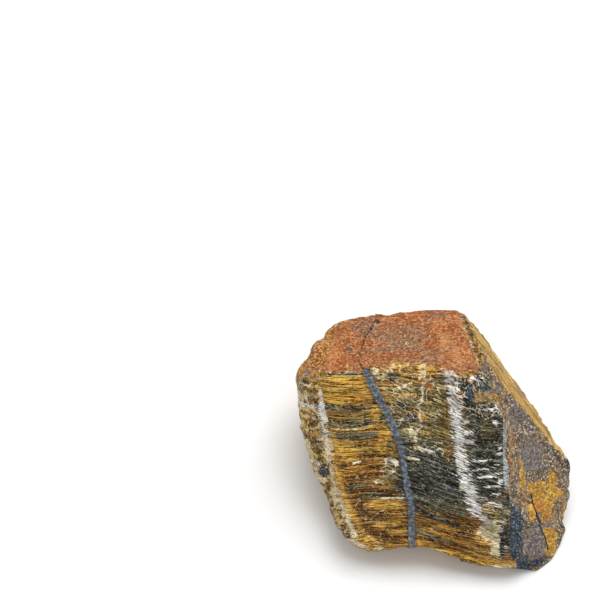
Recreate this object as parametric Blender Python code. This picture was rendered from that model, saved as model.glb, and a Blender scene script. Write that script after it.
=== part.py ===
"""Rough tiger's eye: one broken lump of fibrous quartz with a hematite vein, lying on a flat break.

The lump is a block cut down by flat breaks. Flakes are scooped off its edges, and the surface is then
drawn into the splintery grain of the stone: the fibres run along X, between veins that cross them.
It is shaped around a point inside it, the heart, and stood on the ground last.
Metres, +Z up. The origin is on the ground, under the middle of the lump.
"""

import math

import bmesh
import bpy
from mathutils import Euler, Matrix, Vector, noise

MM = 0.001

# Driving dimensions
BLOCK_SIZE = 120 * MM  # the block that the breaks cut down, larger than the lump each way
HEART = Vector((-0.3, -1.0, 14.0)) * MM  # the heart's place over the ground

# The breaks: the way each one faces, in degrees round from +X, how far it leans back above the
# horizon, in degrees, and how far it lies from the heart, in mm.
BREAKS = {
    "bed": (0, -90, 14.0),
    "fibre_face": (-89, 50, 8.3),
    "crust_top": (87, 79, 17.9),
    "ragged_edge": (36, 66, 19.9),
    "shoulder": (155, 35, 29.6),
    "skin": (-43, 43, 14.5),
    "skin_upper": (-28, 48, 15.8),
    "gold_strip": (23, 31, 19.7),
    "left_margin": (-150, 18, 21.6),
    "left_foot": (-112, 22, 19.1),
    "back": (89, 8, 25.0),
    "back_left": (104, 8, 25.7),
    "back_mid": (67, 4, 24.2),
    "back_low": (88, -28, 25.6),
    "back_right": (42, 0, 21.4),
    "back_corner": (128, 5, 30.0),
    "back_corner_low": (126, -24, 27.6),
    "left_shoulder": (151, 5, 30.0),
    "left_end": (-177, -10, 25.3),
    "left_low": (-167, -15, 24.0),
    "front_left": (-142, -20, 24.9),
    "lip": (-97, -25, 24.1),
    "toe": (-70, -15, 31.9),
    "corner": (-28, -10, 32.2),
    "right_low": (3, -10, 29.6),
    "right": (32, -5, 22.3),
    "right_foot": (20, -35, 25.6),
}

# Flakes struck off: the middle of each scoop from the heart, the radii of its ellipsoid, both in
# mm, and its turn about X, Y and Z in degrees.
FLAKES = {
    "lip_notch": ((-3.6, -26.4, -20.0), (14.5, 11.4, 16.0), (0, 0, -6)),
    "crust_chip": ((-2.8, 6.2, 19.7), (10.5, 3.6, 3.2), (-20, 0, 0)),
    "crest_nick": ((-12.5, 25.2, 17.0), (4.2, 4.0, 6.0), (0, 0, 10)),
    "foot_nick": ((-22.8, -19.0, -9.5), (3.2, 2.8, 4.0), (10, 0, 40)),
    "right_nick": ((30.6, -16.0, -11.0), (3.2, 3.8, 4.4), (0, -20, -8)),
    "back_scoop": ((-12.0, 32.0, 0.0), (12.0, 7.4, 8.0), (12, 8, 12)),
    "back_hollow": ((9.5, 32.2, -6.0), (10.0, 7.6, 7.0), (-10, 0, -14)),
    "side_scoop": ((27.0, 17.5, -5.0), (8.5, 6.5, 7.5), (0, 25, 35)),
    "left_scoop": ((-34.0, 11.0, -6.5), (6.8, 8.5, 6.5), (0, 10, -12)),
}
FLAKE_ROUNDNESS = 3  # icosphere subdivisions of a scoop

# The grain. "Along" is X, the way the fibres run; "across" is down the fibre face; "deep" is square
# to that face. Across and deep are measured from the ridge between the fibre face and the crust.
ACROSS = Vector((0, -0.766, -0.643))
DEEP = Vector((0, -0.643, 0.766))
RIDGE = Vector((0, 7.4, 17.0)) * MM
ROW = 0.9 * MM  # a bundle of fibres
DEEP_ROW = 2.6 * MM
FIBRE_DIP = 0.21  # how steeply the fibres run down to the right, low on the face and past the vein

# The hematite vein that crosses the fibres: its route from above, as (y, x) in mm.
VEIN_ROUTE = ((28, -9.0), (20, -11.5), (14, -14.4), (10, -15.3), (6.5, -13.8), (0.7, -9.7),
              (-4.3, -7.0), (-9.5, -5.8), (-14.7, -4.6), (-30, -4.2))
VEIN_HALF = 0.7 * MM  # half its thickness
COLUMNS = (-21, -18, -15, -12, -9, -6, -3, -0.7, 0.7, 3, 6, 9, 12, 15, 18, 21, 24, 27, 30, 33)
# where the grain is cut across, in mm from the vein's middle

# Relief: the height of each kind of unevenness, and its length along, across and deep
SWELL = 0.9 * MM
SWELL_LENGTH = Vector((13, 13, 13)) * MM
LEDGE = 0.5 * MM
LEDGE_LENGTH = Vector((19, 3.6, 7)) * MM
SPLINTER = 0.4 * MM
SPLINTER_LENGTH = Vector((8, 1.7, 3)) * MM
LUMP = 0.9 * MM  # on the weathered left side
LUMP_LENGTH = Vector((7, 5, 5)) * MM
CRUST_RELIEF = 0.3  # the crust keeps this share of the ledges and splinters
VEIN_RELIEF = 0.3 * MM
BED_FADE = 1.5 * MM  # relief dies out this near the bed, so that the lump lies flat
TOUCH = 0.001 * MM
SLIVER = 0.12 * MM  # points nearer than this are made one
STONE_COLOUR = (0.27, 0.15, 0.045, 1.0)
STONE_ROUGHNESS = 0.45


def clear_scene():
    for obj in list(bpy.data.objects):
        bpy.data.objects.remove(obj)


def new_collection(name):
    made = bpy.data.collections.new(name)
    bpy.context.scene.collection.children.link(made)
    return made


def facing(turn, lean):
    """The direction that a break faces."""
    a, e = math.radians(turn), math.radians(lean)
    return Vector((math.cos(a) * math.cos(e), math.sin(a) * math.cos(e), math.sin(e)))


def broken_block():
    """A block round the heart, cut by every break in turn, each cut closed by a flat face."""
    shape = bmesh.new()
    bmesh.ops.create_cube(shape, size=BLOCK_SIZE)
    for turn, lean, reach in BREAKS.values():
        out = facing(turn, lean)
        geometry = shape.verts[:] + shape.edges[:] + shape.faces[:]
        cut = bmesh.ops.bisect_plane(shape, geom=geometry, plane_co=out * reach * MM,
                                     plane_no=out, clear_outer=True)
        rim = [e for e in cut["geom_cut"] if isinstance(e, bmesh.types.BMEdge)]
        bmesh.ops.contextual_create(shape, geom=rim)
    bmesh.ops.recalc_face_normals(shape, faces=shape.faces)
    return shape


def mesh_object(name, shape, collection):
    mesh = bpy.data.meshes.new(name)
    shape.to_mesh(mesh)
    shape.free()
    obj = bpy.data.objects.new(name, mesh)
    collection.objects.link(obj)
    return obj


def flake_cutter(name, middle, radii, turn, cutters):
    """The ellipsoid that a flake's scar follows."""
    shape = bmesh.new()
    bmesh.ops.create_icosphere(shape, subdivisions=FLAKE_ROUNDNESS, radius=1.0)
    size = Matrix.Diagonal(Vector(radii) * MM).to_4x4()
    spin = Euler([math.radians(a) for a in turn]).to_matrix().to_4x4()
    shape.transform(Matrix.Translation(Vector(middle) * MM) @ spin @ size)
    cutter = mesh_object(name, shape, cutters)
    cutter.hide_render = True
    cutter.display_type = "WIRE"
    return cutter


def flaked(block, cutters):
    """The block's shape once every flake is off it."""
    for name, (middle, radii, turn) in FLAKES.items():
        modifier = block.modifiers.new(name, "BOOLEAN")
        modifier.operation = "DIFFERENCE"
        modifier.object = flake_cutter(name, middle, radii, turn, cutters)
    bpy.context.view_layer.update()
    graph = bpy.context.evaluated_depsgraph_get()
    shape = bmesh.new()
    shape.from_mesh(bpy.data.meshes.new_from_object(block.evaluated_get(graph)))
    return shape


def vein_x(y):
    """Where the vein's middle is at this y: straight from each point of its route to the next."""
    route = [(a * MM, b * MM) for a, b in VEIN_ROUTE]
    for (y0, x0), (y1, x1) in zip(route, route[1:]):
        if y >= y1:
            return x0 + (x1 - x0) * min(1.0, max(0.0, (y0 - y) / (y0 - y1)))
    return route[-1][1]


def height(point):
    """How far a point is above the bed."""
    return point.z + HEART.z


def on_bed(face):
    return all(height(v.co) < TOUCH for v in face.verts)


def slice_up(shape, direction, places):
    """Cuts the faces, all but the bed, along parallel planes."""
    for place in places:
        faces = [f for f in shape.faces if not on_bed(f)]
        edges = {e for f in faces for e in f.edges}
        verts = {v for e in edges for v in e.verts}
        bmesh.ops.bisect_plane(shape, geom=[*verts, *edges, *faces], dist=TOUCH,
                               plane_co=direction * place, plane_no=direction)


def steps(shape, direction, spacing):
    """Places at this spacing, over the shape's whole reach along a direction."""
    reach = [v.co.dot(direction) for v in shape.verts]
    first, last = math.floor(min(reach) / spacing) + 1, math.floor(max(reach) / spacing)
    return [i * spacing for i in range(first, last + 1)]


def straighten_vein(shape, sign):
    """Slides the vertices along X until the vein stands straight at x = 0, or back again."""
    for vert in shape.verts:
        vert.co.x += sign * vein_x(vert.co.y)


def slice_grain(shape):
    """Rows along the fibres, then columns along the vein."""
    slice_up(shape, ACROSS, steps(shape, ACROSS, ROW))
    slice_up(shape, DEEP, steps(shape, DEEP, DEEP_ROW))
    straighten_vein(shape, -1)
    slice_up(shape, Vector((1, 0, 0)), [column * MM for column in COLUMNS])
    straighten_vein(shape, 1)
    bmesh.ops.remove_doubles(shape, verts=shape.verts, dist=SLIVER)
    bmesh.ops.triangulate(shape, faces=[f for f in shape.faces if not on_bed(f)])


def smooth_step(low, high, value):
    share = min(1.0, max(0.0, (value - low) / (high - low)))
    return share * share * (3 - 2 * share)


def grain_place(point):
    """A point as (along, across, deep), straight where the fibres bend."""
    from_ridge = point - RIDGE
    across = from_ridge.dot(ACROSS)
    past_vein = max(0.0, point.x - vein_x(point.y))
    bend = FIBRE_DIP * smooth_step(14 * MM, 26 * MM, across)
    return Vector((point.x, across - bend * past_vein, from_ridge.dot(DEEP)))


def uneven(place, length):
    """Smooth unevenness from about -1 to 1, with this length each way."""
    return noise.noise(Vector((place.x / length.x, place.y / length.y, place.z / length.z)))


def relief(point, normal):
    """How far the broken surface stands proud of its flat break here."""
    place = grain_place(point)
    ledge = smooth_step(-0.12, 0.12, uneven(place, LEDGE_LENGTH)) - 0.5
    splintery = LEDGE * ledge + SPLINTER * uneven(place, SPLINTER_LENGTH)
    crust = smooth_step(0.85, 0.95, normal.z)
    weathered = smooth_step(0.45, 0.8, -normal.x)
    proud = SWELL * uneven(place, SWELL_LENGTH) + splintery * (1 - (1 - CRUST_RELIEF) * crust)
    proud += LUMP * weathered * uneven(place, LUMP_LENGTH)
    if abs(point.x - vein_x(point.y)) < VEIN_HALF * 1.05:
        proud += VEIN_RELIEF * (1 - crust)
    return proud * smooth_step(0, BED_FADE, height(point))


def roughen(shape):
    """Draws the relief on every face but the bed."""
    shape.normal_update()
    moves = [(v, v.normal * relief(v.co, v.normal)) for v in shape.verts]
    for vert, move in moves:
        vert.co += move


def stone_material():
    material = bpy.data.materials.new("tigers_eye")
    material.use_nodes = True
    shader = material.node_tree.nodes["Principled BSDF"]
    shader.inputs["Base Color"].default_value = STONE_COLOUR
    shader.inputs["Roughness"].default_value = STONE_ROUGHNESS
    return material


def main():
    clear_scene()
    parts, cutters = new_collection("rough_tigers_eye"), new_collection("cutters")
    block = mesh_object("block", broken_block(), cutters)
    block.hide_render = True
    shape = flaked(block, cutters)
    slice_grain(shape)
    roughen(shape)
    shape.transform(Matrix.Translation(HEART))
    stone = mesh_object("tigers_eye", shape, parts)
    stone.data.materials.append(stone_material())


main()
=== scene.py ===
"""Rough tiger's eye: the finished look of one broken lump of fibrous quartz.

The lump is a block cut down by flat breaks, with flakes struck off its edges, as its solid is. Here its
surface is then raised into fibres, ledges, chips and grain, and every place on it is measured: how far
it lies along and across the fibres, from the veins that cross them, and inside the edge of each coat.
One layered stone material reads those measures. The stone is shaped round a point inside it, the heart.
Metres, +Z up; the tables are in mm. The origin is on the ground, under the middle of the lump.
"""

import math

import bpy
import numpy as np
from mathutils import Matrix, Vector, noise


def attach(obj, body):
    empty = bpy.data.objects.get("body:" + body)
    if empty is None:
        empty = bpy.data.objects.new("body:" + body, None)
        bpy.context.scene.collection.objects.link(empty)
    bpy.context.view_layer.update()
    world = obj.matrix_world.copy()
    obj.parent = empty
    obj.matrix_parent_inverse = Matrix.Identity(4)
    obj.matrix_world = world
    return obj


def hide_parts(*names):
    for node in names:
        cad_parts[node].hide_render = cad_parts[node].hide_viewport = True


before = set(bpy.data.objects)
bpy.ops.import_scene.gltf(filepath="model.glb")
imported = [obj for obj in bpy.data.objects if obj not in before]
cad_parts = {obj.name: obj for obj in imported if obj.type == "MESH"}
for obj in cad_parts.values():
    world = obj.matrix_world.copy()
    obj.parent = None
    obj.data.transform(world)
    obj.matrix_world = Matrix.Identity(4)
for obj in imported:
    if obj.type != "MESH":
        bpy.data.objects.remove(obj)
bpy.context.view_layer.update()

bl_info = {
    "name": "Rough tiger's eye",
    "version": (1, 0, 0),
    "blender": (4, 5, 0),
    "location": "View3D > Sidebar > Rough stone",
    "description": "Builds a broken lump of tiger's eye with its veins, crust and skin, and a pale stage",
    "category": "Add Mesh",
}

MM = 0.001
NODE = "tigers_eye"

# ---------------------------------------------------------------- the solid's own dimensions

BLOCK_SIZE = 120 * MM  # the block that the breaks cut down, larger than the lump each way
HEART = Vector((-0.3, -1.0, 14.0)) * MM  # the heart's place over the ground

# The breaks: the way each one faces, in degrees round from +X, how far it leans back above the
# horizon, in degrees, and how far it lies from the heart, in mm.
BREAKS = {
    "bed": (0, -90, 14.0),
    "fibre_face": (-89, 50, 8.3),
    "crust_top": (87, 79, 17.9),
    "ragged_edge": (36, 66, 19.9),
    "shoulder": (155, 35, 29.6),
    "skin": (-43, 43, 14.5),
    "skin_upper": (-28, 48, 15.8),
    "gold_strip": (23, 31, 19.7),
    "left_margin": (-150, 18, 21.6),
    "left_foot": (-112, 22, 19.1),
    "back": (89, 8, 25.0),
    "back_left": (104, 8, 25.7),
    "back_mid": (67, 4, 24.2),
    "back_low": (88, -28, 25.6),
    "back_right": (42, 0, 21.4),
    "back_corner": (128, 5, 30.0),
    "back_corner_low": (126, -24, 27.6),
    "left_shoulder": (151, 5, 30.0),
    "left_end": (-177, -10, 25.3),
    "left_low": (-167, -15, 24.0),
    "front_left": (-142, -20, 24.9),
    "lip": (-97, -25, 24.1),
    "toe": (-70, -15, 31.9),
    "toe_end": (-52, -12, 33.6),
    "corner": (-28, -10, 33.4),
    "right_low": (3, -10, 29.6),
    "right": (32, -5, 22.3),
    "right_foot": (20, -35, 25.6),
}

# Flakes struck off: the middle of each scoop from the heart, the radii of its ellipsoid, both in
# mm, and its turn about X, Y and Z in degrees.
FLAKES = {
    "lip_notch": ((-3.6, -26.4, -20.0), (14.5, 11.4, 16.0), (0, 0, -6)),
    "crust_chip": ((-2.8, 6.2, 19.7), (10.5, 3.6, 3.2), (-20, 0, 0)),
    "crest_nick": ((-12.5, 25.2, 17.0), (4.2, 4.0, 6.0), (0, 0, 10)),
    "foot_nick": ((-22.8, -19.0, -9.5), (3.2, 2.8, 4.0), (10, 0, 40)),
    "right_nick": ((30.6, -16.0, -11.0), (3.2, 3.8, 4.4), (0, -20, -8)),
    "back_scoop": ((-12.0, 32.0, 0.0), (12.0, 7.4, 8.0), (12, 8, 12)),
    "back_hollow": ((9.5, 32.2, -6.0), (10.0, 7.6, 7.0), (-10, 0, -14)),
    "side_scoop": ((27.0, 17.5, -5.0), (8.5, 6.5, 7.5), (0, 25, 35)),
    "left_scoop": ((-34.0, 11.0, -6.5), (6.8, 8.5, 6.5), (0, 10, -12)),
}
SCOOP_ROUNDNESS = 4  # icosphere subdivisions of a scoop

# The grain. "Along" is X, the way the fibres run; "across" is down the fibre face; "deep" is square
# to that face. Across and deep are measured from the ridge between the fibre face and the crust.
ACROSS = np.array((0, -0.766, -0.643))
DEEP = np.array((0, -0.643, 0.766))
RIDGE = np.array((0, 7.4, 17.0))
FIBRE_DIP = 0.21  # how steeply the fibres run down to the right, low on the face and past the vein
DIP_FROM, DIP_TO = 14, 26  # where across the dip sets in and is full, in mm

# What crosses the fibres, each a sheet through the stone: its route from above, as (y, x) in mm.
ROUTES = {
    "vein": ((28, -9.0), (20, -11.5), (14, -14.4), (10, -15.3), (6.5, -13.8), (0.7, -9.7),
             (-4.3, -7.0), (-9.5, -5.8), (-14.7, -4.6), (-30, -4.2)),
    "seam": ((24, 10.0), (6.2, 10.8), (4.3, 12.9), (2.4, 13.6), (0.4, 14.0), (-3.8, 14.1), (-8, 14.3),
             (-11.3, 14.6), (-28, 15.4)),
    # the sheen line: a painted highlight down the left of the fibre face, with the worn margin left of it
    "cream_line": ((24, -23.0), (6.6, -23.5), (2.8, -23.3), (0.5, -22.6), (-2.0, -21.9), (-5.8, -21.1),
                   (-9.4, -20.6), (-12.0, -19.7), (-13.8, -18.8), (-15.7, -17.6), (-24, -12.6)),
    "white_band": ((24, 1.0), (7, 2.3), (5.9, 2.9), (0.5, 4.0), (-3.6, 4.9), (-5.5, 4.8), (-8.5, 5.6),
                   (-11.6, 7.1), (-14.6, 8.2), (-17.2, 9.9), (-18.6, 11.6), (-24, 13.4)),
    "squiggle": ((24, -2.6), (4.6, -2.6), (2.7, -2.9), (1.3, -3.4), (0, -3.1), (-1.4, -2.7), (-3.2, -4.6),
                 (-5, -3.2), (-24, -3.2)),
}
BEND_EASE = 1.2  # a route's corners are eased over this distance each way, in mm

# Relief that the solid has too: the height of each kind of unevenness, and its length along,
# across and deep, in mm
SWELL, SWELL_LENGTH = 0.9, (13, 13, 13)
LEDGE, LEDGE_LENGTH = 0.5, (19, 3.6, 7)
SPLINTER, SPLINTER_LENGTH = 0.4, (8, 1.7, 3)
LUMP, LUMP_LENGTH = 0.9, (7, 5, 5)
CRUST_RELIEF = 0.3  # the crust keeps this share of the ledges and splinters
CRUST_UP = (0.85, 0.95)  # how far up the stone faces where that sets in and is full, from 0 to 1
LUMPY_LEFT = (0.45, 0.8)  # and how far left where the lumps do
STRIP_EVEN = 0.85  # the bare strip, which is broken the other way, loses this share of all relief
STRIP_EDGE = (-1.5, -0.3)  # from this far outside its edge, in mm
MARGIN_EVEN = 0.5  # and the worn margin this share
VEIN_HALF = 0.7
VEIN_RELIEF = 0.3
BED_FADE = 1.5  # relief dies out this near the bed

# ---------------------------------------------------------------- what the eye sees close up

# Faces: the lump is covered with small even faces, drawn out along the fibres.
FACE = 0.19 * MM
FACE_STRETCH = 2.1
MOST_FACES = 196_000

# Finer relief, in mm, as above
RIB, RIB_LENGTH = 0.13, (5, 0.62, 1.0)
SHARD, SHARD_LENGTH = 0.26, (2.4, 0.5, 0.8)
TERRACE, TERRACE_LENGTH = 0.34, (4.5, 1.3, 2.0)
GRAIN, GRAIN_LENGTH = 0.07, (0.8, 0.8, 0.8)
FLAKE_STEP, FLAKE_STEP_LENGTH = 0.25, (3.4, 2.2, 2.2)
CHIP, CHIP_LENGTH, CHIP_REACH = 0.45, (2.6, 2.2, 2.2), 0.9
BED_PIT, BED_PIT_LENGTH = 0.5, (6, 4, 4)
WEAR = 1.0  # how round the old outside's edges are worn, in mm
FRESH_WEAR = 0.18  # the fresh breaks keep this share of it
MARGIN_OUT = 0.9  # the worn margin is this much thicker
# Fuller or thinner spots: the place from the heart, how far round it they reach and how far out
FULLER = (((26.5, -21, -3), 9, 1), ((-18.5, -18, -7), 8, 1.9), ((-24.5, -5, 0), 7, 0.8),
          ((27.5, -6, -5), 8, 1.1), ((5.5, -23.5, -8.5), 5.5, -0.8))

# The fibres in the middle of the face sweep down to the right: how steeply, between which places
# along, and where across the sweep sets in, is full and has died out, in mm
SWEEP, SWEEP_ALONG, SWEEP_ACROSS = 0.34, (-9, 9), (-3, 9, 40)
WAVE, WAVE_LENGTH = 0.45, (8, 5, 5)  # all fibres wander up and down by this much
SAG, SAG_AT, SAG_HALF = 0.5, -17.8, 7.5  # left of the vein they sag by this much, here, over this far
SQUIGGLE, SQUIGGLE_LENGTH = 0.9, (3, 1.1, 3)  # and the cream thread from side to side by this much
CRACK_DEPTH, CRACK_HALF = 0.3, 0.17
COAT_EVEN, WORN_EVEN = 0.85, 0.6  # the coats and the margin lose this share of the fibre's relief
TERRACE_LEAST = 0.35  # the terraces keep this share where the fibre isn't splintered
RAGGED_FLAKES = 0.6  # the flake steps of the ragged edge, against the margin's
STRIP_RIB, STRIP_TAKES = 0.8, 0.9  # the strip's own ribs, and how far they replace the rest
CHIP_EVEN = 0.85  # the margin and the strip lose this share of the chips
BED_GRAIN = 0.15

# The coats: the breaks that each one covers
COATS = {
    "crust": ("crust_top",),
    "ragged": ("ragged_edge",),
    "strip": ("gold_strip",),
    "skin": ("skin", "skin_upper", "toe_end", "corner", "right", "right_low", "right_foot",
             "back_right"),
    "margin": ("left_margin", "left_foot", "left_end", "left_low", "front_left"),
    "rust": ("shoulder", "left_shoulder", "back_corner", "back_corner_low", "back_left"),
}

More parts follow.
